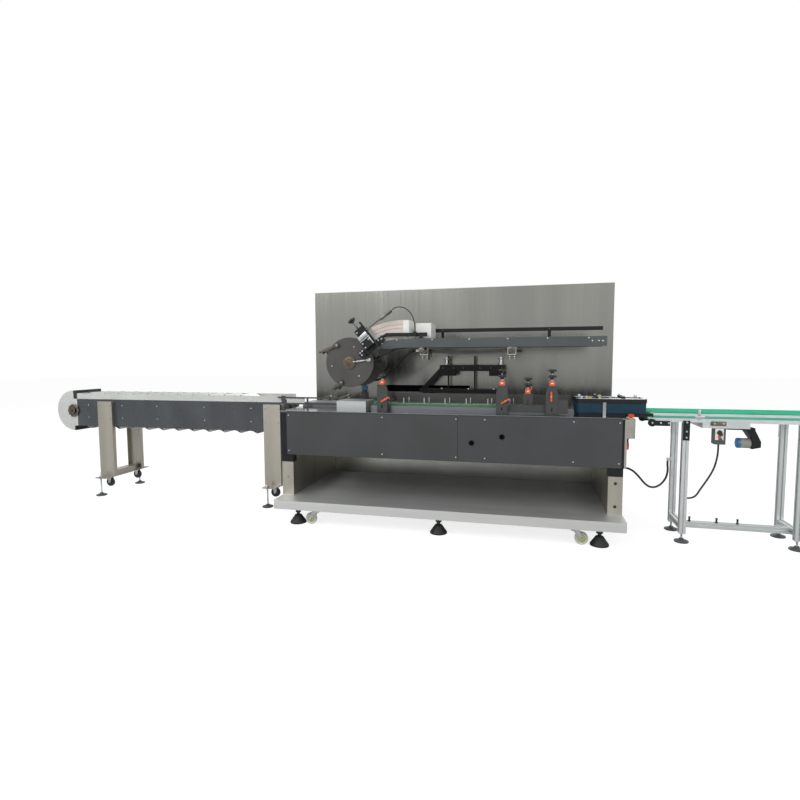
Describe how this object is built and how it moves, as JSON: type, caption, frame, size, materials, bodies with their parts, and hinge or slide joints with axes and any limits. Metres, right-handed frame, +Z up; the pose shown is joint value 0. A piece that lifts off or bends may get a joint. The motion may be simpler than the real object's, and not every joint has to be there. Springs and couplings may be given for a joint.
{
  "type": "automatic cartoner",
  "caption": "Horizontal cartoning machine on a wheeled base with carton magazine, rotary suction feeder, lug-chain conveyor, flighted infeed and belt take-off.",
  "frame": {"origin": "on the floor, under the middle of the whole line's box", "axes": "+X along the line from the infeed to the take-off, +Y from the operator's side to the cabinet, +Z up"},
  "size_m": [6.2117, 1.468, 1.831],
  "materials": {
    "stainless": "brushed",
    "polished_steel": "ground",
    "dark_grey_paint": "satin",
    "slate_paint": "satin",
    "black_paint": "satin",
    "light_grey_paint": "satin",
    "aluminium": "anodised",
    "black_plastic": "moulded",
    "orange_plastic": "moulded",
    "red_plastic": "moulded",
    "blue_plastic": "moulded",
    "white_plastic": "satin",
    "green_plastic": "satin",
    "wheel_plastic": "satin",
    "green_belt": "satin",
    "blue_belt": "matte",
    "black_rubber": "matte",
    "brass": "turned",
    "cardboard": "uncoated"
  },
  "bodies": {
    "machine": {"base_tray": "stainless", "machine_feet": "black_rubber", "side_frames": "stainless", "conveyor_housing": "black_paint", "front_covers": "dark_grey_paint", "table_top": "polished_steel", "cabinet": "stainless", "lug_chains": "polished_steel", "chain_shafts": "polished_steel", "deck_rails": "light_grey_paint", "wear_strips": "green_plastic", "guide_plates": "dark_grey_paint", "adjuster_posts": "dark_grey_paint", "adjuster_fittings": "orange_plastic", "pusher_bridge": "dark_grey_paint", "support_rods": "polished_steel", "magazine_plates": "dark_grey_paint", "magazine_belt": "green_belt", "guide_rails": "black_paint", "carton_stack": "cardboard", "carton_follower": "white_plastic", "drum_bearing": "light_grey_paint", "magazine_gate": "black_paint", "cable_chain": "black_plastic", "carton_sensor": "light_grey_paint", "sensor_cable": "black_rubber", "vacuum_valve": "blue_plastic", "vacuum_hose": "black_rubber", "table_cover": "light_grey_paint", "discharge_belts": "blue_belt", "discharge_frame": "black_paint", "control_box": "light_grey_paint", "emergency_stop": "red_plastic", "infeed_side_plates": "slate_paint", "infeed_slats": "stainless", "infeed_guards": "white_plastic", "infeed_legs": "stainless", "conveyor_feet": "black_rubber", "outfeed_belt": "green_belt", "outfeed_frame": "aluminium", "outfeed_legs": "aluminium", "outfeed_drive": "black_paint", "outfeed_switch_box": "light_grey_paint", "link_cable": "black_rubber", "switch_cable": "black_rubber"},
    "feeder_drum": {"drum": "dark_grey_paint", "suction_arms": "black_paint", "drum_hub": "brass"},
    "caster_1": {"caster_fork_1": "polished_steel"},
    "caster_roller_1": {"caster_wheel_1": "wheel_plastic"},
    "caster_2": {"caster_fork_2": "polished_steel"},
    "caster_roller_2": {"caster_wheel_2": "wheel_plastic"},
    "caster_3": {"caster_fork_3": "polished_steel"},
    "caster_roller_3": {"caster_wheel_3": "wheel_plastic"},
    "caster_4": {"caster_fork_4": "polished_steel"},
    "caster_roller_4": {"caster_wheel_4": "wheel_plastic"},
    "knob_1": {"star_knob_1": "black_plastic"},
    "knob_2": {"star_knob_2": "black_plastic"},
    "knob_3": {"star_knob_3": "black_plastic"},
    "knob_4": {"star_knob_4": "black_plastic"}
  },
  "joints": [
    {"name": "drum_spin", "type": "hinge", "parent": "machine", "child": "feeder_drum", "pos_m": [-0.13, -0.442, 1.203], "axis": [0, 1, 0], "continuous": true},
    {"name": "caster_swivel_1", "type": "hinge", "parent": "machine", "child": "caster_1", "pos_m": [-0.335, -0.645, 0.104], "axis": [0, 0, 1], "continuous": true},
    {"name": "caster_roll_1", "type": "hinge", "parent": "caster_1", "child": "caster_roller_1", "pos_m": [-0.373, -0.645, 0.0465], "axis": [0, 1, 0], "continuous": true},
    {"name": "caster_swivel_2", "type": "hinge", "parent": "machine", "child": "caster_2", "pos_m": [1.501, -0.645, 0.104], "axis": [0, 0, 1], "continuous": true},
    {"name": "caster_roll_2", "type": "hinge", "parent": "caster_2", "child": "caster_roller_2", "pos_m": [1.539, -0.645, 0.0465], "axis": [0, 1, 0], "continuous": true},
    {"name": "caster_swivel_3", "type": "hinge", "parent": "machine", "child": "caster_3", "pos_m": [-0.335, 0.645, 0.104], "axis": [0, 0, 1], "continuous": true},
    {"name": "caster_roll_3", "type": "hinge", "parent": "caster_3", "child": "caster_roller_3", "pos_m": [-0.373, 0.645, 0.0465], "axis": [0, 1, 0], "continuous": true},
    {"name": "caster_swivel_4", "type": "hinge", "parent": "machine", "child": "caster_4", "pos_m": [1.501, 0.645, 0.104], "axis": [0, 0, 1], "continuous": true},
    {"name": "caster_roll_4", "type": "hinge", "parent": "caster_4", "child": "caster_roller_4", "pos_m": [1.539, 0.645, 0.0465], "axis": [0, 1, 0], "continuous": true},
    {"name": "knob_turn_1", "type": "hinge", "parent": "machine", "child": "knob_1", "pos_m": [0.15, -0.523, 1.04], "axis": [0, 0, 1], "continuous": true},
    {"name": "knob_turn_2", "type": "hinge", "parent": "machine", "child": "knob_2", "pos_m": [1.009, -0.523, 1.04], "axis": [0, 0, 1], "continuous": true},
    {"name": "knob_turn_3", "type": "hinge", "parent": "machine", "child": "knob_3", "pos_m": [1.183, -0.461, 1.084], "axis": [0, 0, 1], "continuous": true},
    {"name": "knob_turn_4", "type": "hinge", "parent": "machine", "child": "knob_4", "pos_m": [1.341, -0.523, 1.04], "axis": [0, 0, 1], "continuous": true}
  ]
}
